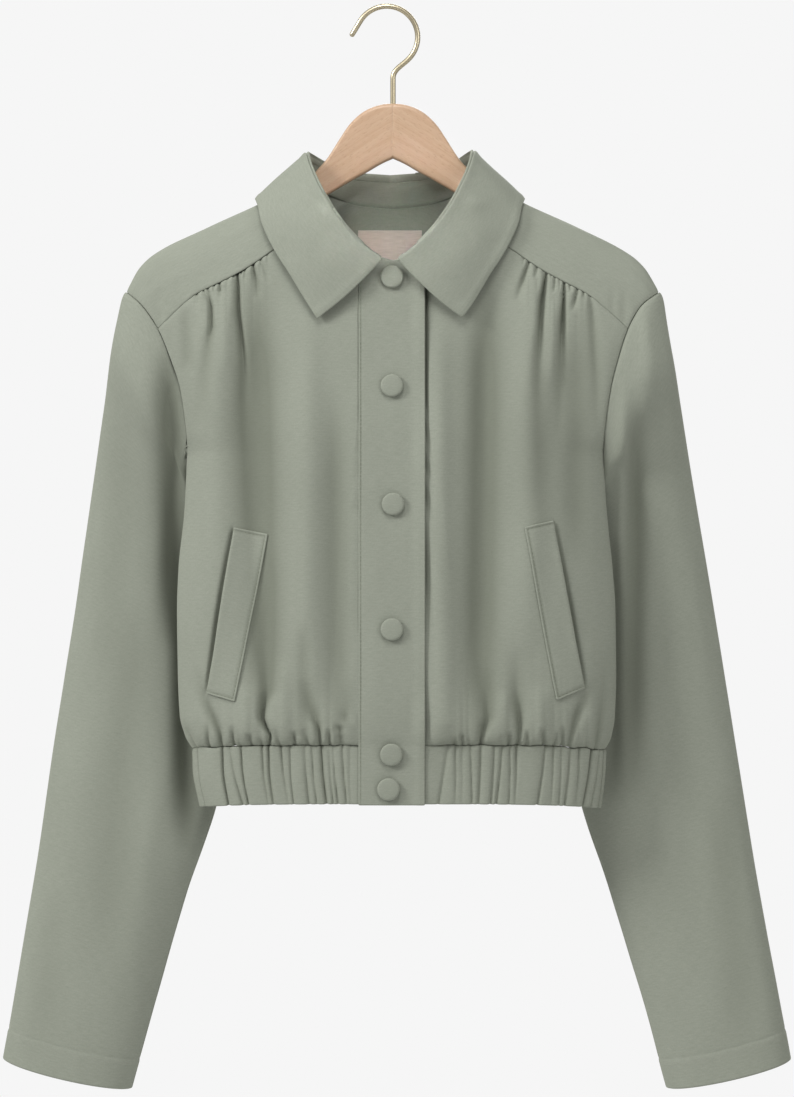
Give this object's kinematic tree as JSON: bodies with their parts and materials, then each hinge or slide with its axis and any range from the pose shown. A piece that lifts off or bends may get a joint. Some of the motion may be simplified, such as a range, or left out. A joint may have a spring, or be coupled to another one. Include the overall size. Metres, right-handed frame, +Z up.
{
  "type": "cropped blouson jacket on a wooden hanger",
  "caption": "Cropped button-front blouson jacket with pointed collar, gathered yokes, slanted welt pockets, long sleeves and waistband, hung on a wooden hanger with a wire hook.",
  "frame": {"origin": "inner top of the hanger's hook, where a rail carries the hanger", "axes": "+Z up, the jacket's front faces -Y, +X towards the side with the wearer's left sleeve"},
  "size_m": [0.6304, 0.1225, 0.8694],
  "materials": {
    "cloth": "matt sage-green crepe twill",
    "label": "plain woven label, no lettering",
    "wood": "satin clear-lacquered beech",
    "hook": "champagne-plated steel wire"
  },
  "bodies": {
    "root": {"front_left": "cloth", "front_right": "cloth", "back": "cloth", "yoke": "cloth", "sleeve_left": "cloth", "sleeve_right": "cloth", "collar_fall": "cloth", "collar_stand": "cloth", "placket": "cloth", "waistband": "cloth", "pocket_welt_left": "cloth", "pocket_welt_right": "cloth", "button_1": "cloth", "button_2": "cloth", "button_3": "cloth", "button_4": "cloth", "button_5": "cloth", "button_6": "cloth", "neck_label": "label", "hanger_arm_left": "wood", "hanger_arm_right": "wood", "hanger_hook": "hook"}
  },
  "joints": []
}
